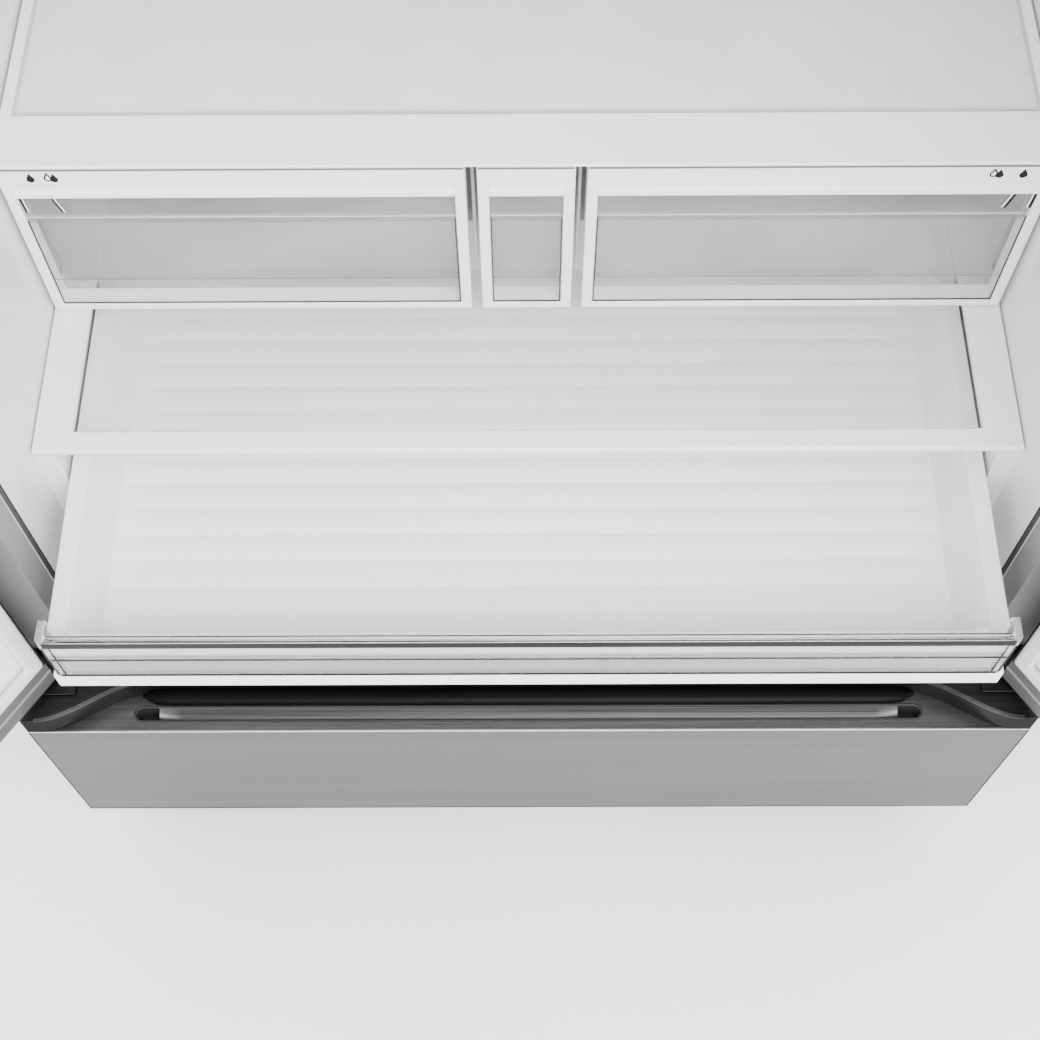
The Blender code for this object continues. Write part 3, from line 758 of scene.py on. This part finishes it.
def ribbed_floor():
    """Soft cross ribs moulded into the drawer's floor."""
    low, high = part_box("deli_bin")
    z = low.z + 0.0031
    x = (low.x + 0.0305, high.x - 0.0305)
    y = (low.y + 0.0380, high.y - 0.0300)
    pitch = 0.0255
    crest = 0.0017
    rows = 220
    steps = []
    for i in range(rows + 1):
        at = y[0] + (y[1] - y[0]) * i / rows
        phase = ((at - y[0]) / pitch) % 1.0
        edge = min(1.0, (at - y[0]) / 0.012, (y[1] - at) / 0.012)
        steps.append((at, z + 0.0003 + crest * edge * math.sin(math.pi * phase) ** 0.8))
    bm = bmesh.new()
    columns = []
    shares = ((0.0, 1.0), (0.02, 0.25), (0.045, 0.0), (0.955, 0.0), (0.98, 0.25), (1.0, 1.0))
    for share, drop in shares:
        at_x = x[0] + (x[1] - x[0]) * share
        column = []
        for at, top in steps:
            height = top + (z + 0.0003 - top) * drop
            column.append(bm.verts.new((at_x, at, height)))
        columns.append(column)
    under = [[bm.verts.new((v.co.x, v.co.y, z + 0.0001)) for v in (c[0], c[-1])] for c in columns]
    for near, far in zip(columns, columns[1:]):
        for i in range(rows):
            bm.faces.new((near[i], far[i], far[i + 1], near[i + 1]))
    for i in range(len(columns) - 1):
        bm.faces.new((under[i][0], under[i][1], under[i + 1][1], under[i + 1][0]))
        bm.faces.new((columns[i][0], under[i][0], under[i + 1][0], columns[i + 1][0]))
        bm.faces.new((columns[i][-1], columns[i + 1][-1], under[i + 1][1], under[i][1]))
    for k in (0, -1):
        side = [columns[k][i] for i in range(rows + 1)]
        bm.faces.new(side + [under[k][1], under[k][0]])
    piece("deli_floor_ribs", bm, BRIGHT, "deli_drawer", smooth=60)


def u_outline(half, front, back, thick, radius, steps=5):
    """Plan of a shallow U: a front plate with a return at each end."""
    points = [(half, back)]
    for i in range(steps + 1):
        angle = math.radians(-90 * i / steps)
        round_x, round_y = radius * math.cos(angle), radius * math.sin(angle)
        points.append((half - radius + round_x, front + radius + round_y))
    points = points + [(-x, y) for x, y in reversed(points)]
    inner = [(-half + thick, back)]
    small = max(radius - thick, 0.0008)
    for i in range(steps + 1):
        angle = math.radians(180 + 90 * i / steps)
        round_x, round_y = small * math.cos(angle), small * math.sin(angle)
        inner.append((-half + thick + small + round_x, front + thick + small + round_y))
    return points + inner + [(-x, y) for x, y in reversed(inner)]


def make_lens():
    low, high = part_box("deli_lens")
    back = low.y + 0.020
    radius = 0.004
    heights = (
        (low.z, 0.0040),
        (low.z + 0.030, 0.0040),
        (low.z + 0.0315, 0.0052),
        (low.z + 0.0345, 0.0052),
        (low.z + 0.036, 0.0040),
        (high.z - 0.0075, 0.0040),
        (high.z - 0.0060, 0.0066),
        (high.z, 0.0066),
    )
    rings = []
    for z, thick in heights:
        rings.append(level(u_outline(high.x, low.y, back, thick, radius), z))
    lens = piece("deli_lens_clear", loft(rings), THICK_CLEAR, "deli_drawer", bevel=0.0005)
    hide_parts("deli_lens")
    lens_shades(low, high)


def lens_shades(low, high):
    """Painted shade: the dark lines and the grey tone that thick clear plastic shows at its steps
    and edges.
    """
    half = high.x - 0.0048
    x = (-half, half)
    y = (low.y - 0.0007, low.y - 0.0001)
    lines = [
        block(x, y, (high.z - 0.0092, high.z - 0.0010)),
        block(x, y, (low.z + 0.0325, low.z + 0.0333)),
        block(x, y, (low.z + 0.0006, low.z + 0.0030)),
    ]
    for side in (-1, 1):
        for offset in (0.0016, -0.0044):
            edge = side * (half + offset)
            span = (edge - 0.0005, edge + 0.0005)
            lines.append(block(span, y, (low.z + 0.0036, high.z - 0.0100)))
    piece("deli_lens_shade_lines", join_meshes(lines), LENS_SHADE_LINE, "deli_drawer")
    tone_y = (low.y + 0.0044, low.y + 0.0050)
    tone = block(x, tone_y, (low.z + 0.0008, low.z + 0.0320))
    piece("deli_lens_shade_tone", tone, LENS_SHADE_TONE, "deli_drawer")


def make_deli_drawer():
    refined("deli_bin", BRIGHT, 0.0018, 3)
    ribbed_floor()
    make_lens()
    low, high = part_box("deli_bin")
    for name, side in SIDES:
        x = mirrored((0.3600, 0.3725), side)
        catch = block(x, (low.y + 0.0085, low.y + 0.0240), (high.z - 0.0100, high.z + 0.0035))
        piece("deli_rim_catch_" + name, catch, BRIGHT, "deli_drawer", bevel=0.0015, segments=3)


# ---------------------------------------------------------------- freezer drawer


def pocket_outline(grow=0.0):
    low = FRONT + 0.010 - grow
    high = FRONT + 0.024 + grow
    half = 0.357 + grow
    radius = (high - low) / 2 - 0.00001
    return rounded_outline((-half, half), (low, high), radius, 6)


def make_freezer_front():
    refined("freezer_front", STEEL, 0.0006, 2)
    refined("freezer_cap", CAP_WALL, 0.0010, 3)
    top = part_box("freezer_front")[1].z
    rings = [level(pocket_outline(grow), top + height) for grow, height in POCKET_CUP]
    piece("freezer_pocket", loft(rings), BLACK, "freezer_drawer", smooth=40)
    pocket_scoop(top)
    ledge_plate(top)
    front_edges(top)
    cap_edge()
    scoop_fillet(top)


def pocket_scoop(top):
    """The brushed back of the pocket, which slopes forward and down under the front lip."""
    steps = 8
    half = 0.336
    rings = []
    for share in (0.0, 0.012, 0.03, 0.97, 0.988, 1.0):
        x = -half + 2 * half * share
        rise = 0.0035 if share in (0.0, 1.0) else (0.0008 if share in (0.012, 0.988) else 0.0)
        over, under = [], []
        for i in range(steps + 1):
            t = i / steps
            y = FRONT + 0.0227 - 0.0098 * t
            z = top - 0.0008 - 0.0072 * math.sin(t * math.pi / 2) + rise * t
            over.append((x, y, z))
            under.append((x, y - 0.0002, z - 0.0008))
        rings.append(over + list(reversed(under)))
    piece("freezer_pocket_back", loft(rings), SCOOP_STEEL, "freezer_drawer", smooth=50)


def scoop_fillet(top):
    """The hollow that rises from the pocket's back edge into the cap's wall, in a near-black steel
    that paints its shade.
    """
    back = FRONT + 0.0362
    left = ((-0.352, 0.0030), (-0.340, 0.0100), (-0.325, 0.0118))
    right = tuple((-x, reach) for x, reach in reversed(left))
    rings = [fillet_section(x, back, top, reach) for x, reach in left + right]
    piece("freezer_scoop_hollow_shade", loft(rings), HOLLOW_SHADE, "freezer_drawer", smooth=50)


def fillet_section(x, back, top, reach):
    """A concave quarter round that reaches forward over the ledge and up the wall."""
    steps = 8
    points = []
    for i in range(steps + 1):
        angle = math.radians(90 * i / steps)
        y = back - reach * (1 - math.sin(angle))
        z = top + 0.0006 + 1.6 * reach * (1 - math.cos(angle))
        points.append((x, y, z))
    return points + [(x, back, top + 0.0003), (x, back - reach, top + 0.0003)]


def front_edges(top):
    """A painted highlight along the top of the steel front, and painted shade lines along its other
    edges.
    """
    low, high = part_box("freezer_front")
    # A near-white strip: the painted highlight along the top edge.
    fold_x = (low.x + 0.001, high.x - 0.001)
    fold = block(fold_x, (low.y - 0.0003, low.y + 0.0014), (top - 0.0012, top + 0.0004))
    piece("freezer_front_fold_highlight", fold, HIGHLIGHT_STEEL, "freezer_drawer", bevel=0.0003)
    # Dark steel strips at the sides and bottom: painted shade along those edges.
    y = (low.y - 0.0002, low.y + 0.0004)
    edge_shade_lines = [
        block((low.x - 0.0002, low.x + 0.0008), y, (low.z, top - 0.0014)),
        block((high.x - 0.0008, high.x + 0.0002), y, (low.z, top - 0.0014)),
        block((low.x + 0.0010, high.x - 0.0010), y, (low.z - 0.0002, low.z + 0.0010)),
    ]
    piece("freezer_front_edge_shade", join_meshes(edge_shade_lines), DARK_STEEL, "freezer_drawer")


def scoop_point(t):
    """A point of the cap's curved front edge: X on the +X side and Y behind the front."""
    start, end, deep = 0.4400, 0.3450, 0.0360
    return start + (end - start) * t, deep * t * t * (3 - 2 * t)


def cap_edge():
    """The brushed top of the cap and a painted highlight on the rim along its curved front."""
    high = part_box("freezer_cap")[1]
    steps = 24
    half = [(high.x - 0.0015, high.y - 0.0015), (high.x - 0.0015, FRONT + 0.0015)]
    for i in range(steps + 1):
        x, y = scoop_point(i / steps)
        half.append((x, FRONT + y + 0.0015))
    outline = half + [(-x, y) for x, y in reversed(half)]
    top = [level(outline, high.z + 0.00002), level(outline, high.z + 0.00022)]
    piece("freezer_cap_top", loft(top), DARK_STEEL, "freezer_drawer")
    for name, side in SIDES:
        rings = []
        for i in range(steps + 1):
            t = i / steps
            x, y = scoop_point(t)
            ahead = scoop_point(min(1.0, t + 0.01))
            behind = scoop_point(max(0.0, t - 0.01))
            along = Vector((ahead[0] - behind[0], ahead[1] - behind[1])).normalized()
            inward = Vector((-along.y, along.x)) * -1.0
            width = 0.0026 * min(1.0, (1 - t) * 5)
            ring = []
            for out, z in ((-0.0004, -0.0022), (-0.0004, 0.0003), (width, 0.0004), (width, -0.0010)):
                spot = Vector((x, FRONT + y)) + inward * out
                ring.append((side * spot.x, spot.y, high.z + z))
            rings.append(ring)
        rim = loft(rings)
        piece("freezer_cap_highlight_" + name, rim, CAP_HIGHLIGHT, "freezer_drawer", smooth=50)


def ledge_plate(top):
    """The brushed top of the drawer front, between its face and the scooped cap."""
    y = (FRONT + 0.0012, FRONT + 0.0400)
    hole = pocket_outline(0.0012)
    outline = rounded_outline((-0.4400, 0.4400), y, 0.0004, 6)
    rings = [level(hole, top + 0.0001), level(outline, top + 0.0001)]
    rings += [level(outline, top + 0.00028), level(hole, top + 0.00028)]
    piece("freezer_ledge", loft(rings, closed=True), LEDGE_STEEL, "freezer_drawer")


def make_freezer_inside():
    refined("freezer_core", GREY_PAINT, 0.0008)
    refined("freezer_gasket", SEAL, 0.003, 3)
    refined("freezer_liner", LINER, 0.003, 2)
    refined("evaporator_cover", WHITE, 0.002)
    refined("freezer_basket", WHITE, 0.0012)
    refined("freezer_tray", CLEAR, 0.001)
    for name, _ in SIDES:
        refined("freezer_rail_" + name, ZINC, 0.001)
    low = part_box("evaporator_cover")[0]
    slots = []
    for row in range(5):
        z = low.z + 0.030 + 0.022 * row
        for column in range(6):
            x = -0.300 + 0.105 * column
            slots.append(block((x, x + 0.070), (low.y - 0.0005, low.y + 0.001), (z, z + 0.007)))
    piece("evaporator_vents", join_meshes(slots), SHADOW, "cabinet", bevel=0.0003)


# ---------------------------------------------------------------- doors


def make_doors():
    for name, side in SIDES:
        on = "door_" + name
        refined(on + "_skin", DOOR_STEEL[side], 0.0004)
        refined(on + "_core", LINER, 0.005, 3)
        refined(on + "_gasket", SEAL, 0.004, 3)
        for label in ("low", "high"):
            refined(f"{on}_{label}_bin", DOOR_CLEAR, 0.0014)
            bin_rim(on, side, label)
        door_trim(name, side)
        refined("top_hinge_" + name, ZINC, 0.0008)
        refined("bottom_hinge_" + name, DARK_STEEL, 0.0004)
        paint("hinge_bushing_" + name, WHITE)
    refined("flipper_mullion", GREY_PAINT, 0.003, 3)


def on_door(parts, side):
    """Joins pieces drawn on the closed door and takes them to the open one."""
    whole = join_meshes(parts)
    bmesh.ops.transform(whole, matrix=door_turn(side), verts=whole.verts)
    return whole


def bin_rim(on, side, label):
    """The white rim and the base strip of a door bin."""
    node = f"{on}_{label}_bin"
    low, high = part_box(node)
    x = mirrored((BIN_X[0] - 0.0008, BIN_X[1] + 0.0008), side)
    y = (FRONT + 0.0726, FRONT + BIN_FRONT + 0.0008)
    inner_x = (x[0] + 0.0048, x[1] - 0.0048)
    inner_y = (y[0] + 0.0048, y[1] - 0.0048)
    outer = rounded_outline(x, y, 0.006)
    inner = rounded_outline(inner_x, inner_y, 0.004)
    top = high.z + 0.0012
    under = top - 0.0110
    rings = [level(outer, under), level(outer, top), level(inner, top), level(inner, under)]
    rim = on_door([loft(rings, closed=True)], side)
    piece(node + "_rim", rim, WHITE, on, bevel=0.0012)
    plate_y = (FRONT + BIN_FRONT - 0.0002, FRONT + BIN_FRONT + 0.0012)
    plate = block((x[0] + 0.012, x[1] - 0.012), plate_y, (low.z + 0.003, low.z + 0.016))
    piece(node + "_base_strip", on_door([plate], side), WHITE, on, bevel=0.0006)


def door_trim(name, side):
    """The grey end caps on the door's inner face, the lower one's rib, and the painted shadow lines
    along the gasket's lower and outer edges.
    """
    low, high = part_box(f"door_{name}_core")
    on = "door_" + name
    bottom = low.z + 0.0004
    x = mirrored(DOOR_FACE_X, side)
    y = (DOOR_BACK + 0.0001, DOOR_BACK + 0.0040)
    cap = [block(x, y, (bottom, GASKET_Z[0] - 0.0030))]
    cap.append(block(x, (y[0], y[0] + 0.0020), (high.z - 0.0080, high.z - 0.0004)))
    piece(on + "_end_caps", on_door(cap, side), END_CAP, on, bevel=0.0008)
    rib = block(x, (y[1] - 0.0005, y[1] + 0.0006), (bottom + 0.0185, bottom + 0.0225))
    piece(on + "_end_cap_rib", on_door([rib], side), END_CAP_RIB, on, bevel=0.0004)
    shade_strip = block(x, (y[0], y[1] + 0.0005), (GASKET_Z[0] - 0.0028, GASKET_Z[0] - 0.0003))
    edge = mirrored((GASKET_X[1] + 0.0003, GASKET_X[1] + 0.0015), side)
    line = block(edge, (y[0], y[1] + 0.0005), (GASKET_Z[0], GASKET_Z[1]))
    piece(on + "_gasket_shadow_line", on_door([shade_strip, line], side), SHADOW, on)


# ---------------------------------------------------------------- cabinet outside


def make_cabinet():
    refined("cabinet_wrapper", GREY_PAINT, 0.0010)
    refined("front_frame", GREY_PAINT, 0.0005)
    refined("back_panel", ZINC, 0.0004)
    refined("machine_cover", ZINC, 0.0003)
    refined("base_frame", ZINC, 0.0006)
    refined("toe_grille", BLACK, 0.0008)
    refined("power_inlet", BLACK, 0.0006)
    refined("compressor", CAST, 0.003, 3)
    refined("condenser", FINS, 0.001)
    paint("foam_body", FOAM)
    for name, _ in SIDES:
        refined("levelling_foot_" + name, BLACK, 0.0006)
        refined("rear_roller_" + name, BLACK, 0.0010)
    make_back_screws()
    make_pins()


def make_back_screws():
    low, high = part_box("back_panel")
    heads = []
    for side in (-1, 1):
        for i in range(6):
            z = low.z + 0.020 + (high.z - low.z - 0.040) * i / 5
            heads.append(screw((side * (high.x - 0.014), high.y, z), (0, 1, 0)))
    cover_low, cover_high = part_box("machine_cover")
    for side in (-1, 1):
        for z in (cover_low.z + 0.020, cover_high.z - 0.020):
            heads.append(screw((side * (cover_high.x - 0.014), cover_high.y, z), (0, 1, 0)))
    piece("back_screws", join_meshes(heads), ZINC, "cabinet")


def make_pins():
    """Three pins with rounded corners in the inlet."""
    low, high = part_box("power_inlet")
    middle = (low + high) / 2
    pins = []
    for dx, dz in ((-0.006, -0.002), (0.0, 0.003), (0.006, -0.002)):
        x = (middle.x + dx - 0.0010, middle.x + dx + 0.0010)
        z = (middle.z + dz - 0.002, middle.z + dz + 0.002)
        pins.append(block(x, (high.y - 0.0070, high.y - 0.0015), z))
    piece("inlet_pins", join_meshes(pins), ZINC, "cabinet", bevel=0.0003)


# ---------------------------------------------------------------- stage


def make_floor():
    bm = bmesh.new()
    bmesh.ops.create_grid(bm, x_segments=1, y_segments=1, size=20.0)
    mesh = bpy.data.meshes.new("floor")
    bm.to_mesh(mesh)
    bm.free()
    floor = bpy.data.objects.new("floor", mesh)
    floor.data.materials.append(moulded("floor", (0.86, 0.86, 0.86), (0.89, 0.89, 0.89), 0.6))
    bpy.context.scene.collection.objects.link(floor)


def area_light(name, at, aim, size, energy):
    data = bpy.data.lights.new(name, "AREA")
    data.shape = "RECTANGLE"
    data.size, data.size_y = size
    data.energy = energy
    light = bpy.data.objects.new(name, data)
    light.location = at
    light.rotation_mode = "QUATERNION"
    light.rotation_quaternion = (Vector(aim) - Vector(at)).to_track_quat("-Z", "Y")
    bpy.context.scene.collection.objects.link(light)


def make_lights():
    world = bpy.data.worlds.new("studio")
    bpy.context.scene.world = world
    world.use_nodes = True
    background = world.node_tree.nodes["Background"]
    background.inputs["Color"].default_value = (1.0, 1.0, 1.0, 1.0)
    background.inputs["Strength"].default_value = WORLD_STRENGTH
    area_light("key", (0.9, -2.2, 3.2), (0.0, 0.0, 0.6), (3.0, 2.0), KEY_WATTS)
    area_light("fill", (-1.8, -1.8, 2.2), (0.0, 0.0, 0.5), (1.5, 1.5), FILL_WATTS)


def make_camera():
    pitch, yaw, roll = (math.radians(a) for a in (CAMERA_PITCH, CAMERA_YAW, CAMERA_ROLL))
    forward = Vector(
        (math.sin(yaw) * math.cos(pitch), math.cos(yaw) * math.cos(pitch), -math.sin(pitch))
    )
    right = Vector((math.cos(yaw), -math.sin(yaw), 0.0))
    up = right.cross(forward)
    across = math.cos(roll) * right + math.sin(roll) * up
    upward = math.cos(roll) * up - math.sin(roll) * right
    data = bpy.data.cameras.new("camera")
    data.sensor_width = 36.0
    data.lens = LENS_MM
    data.clip_start = 0.01
    camera = bpy.data.objects.new("camera", data)
    turn = Matrix((across, upward, -forward)).transposed().to_4x4()
    place = Matrix.Translation((CAMERA_AT[0], CAMERA_AT[1] + FRONT, CAMERA_AT[2]))
    camera.matrix_world = place @ turn
    bpy.context.scene.collection.objects.link(camera)
    bpy.context.scene.camera = camera


def main():
    make_camera()
    make_floor()
    make_lights()
    make_liner()
    make_ceiling_lamp()
    make_shelf_supports()
    make_shelves()
    make_air_tower()
    make_crispers()
    make_cover()
    make_deli_drawer()
    make_freezer_front()
    make_freezer_inside()
    make_doors()
    make_cabinet()


main()
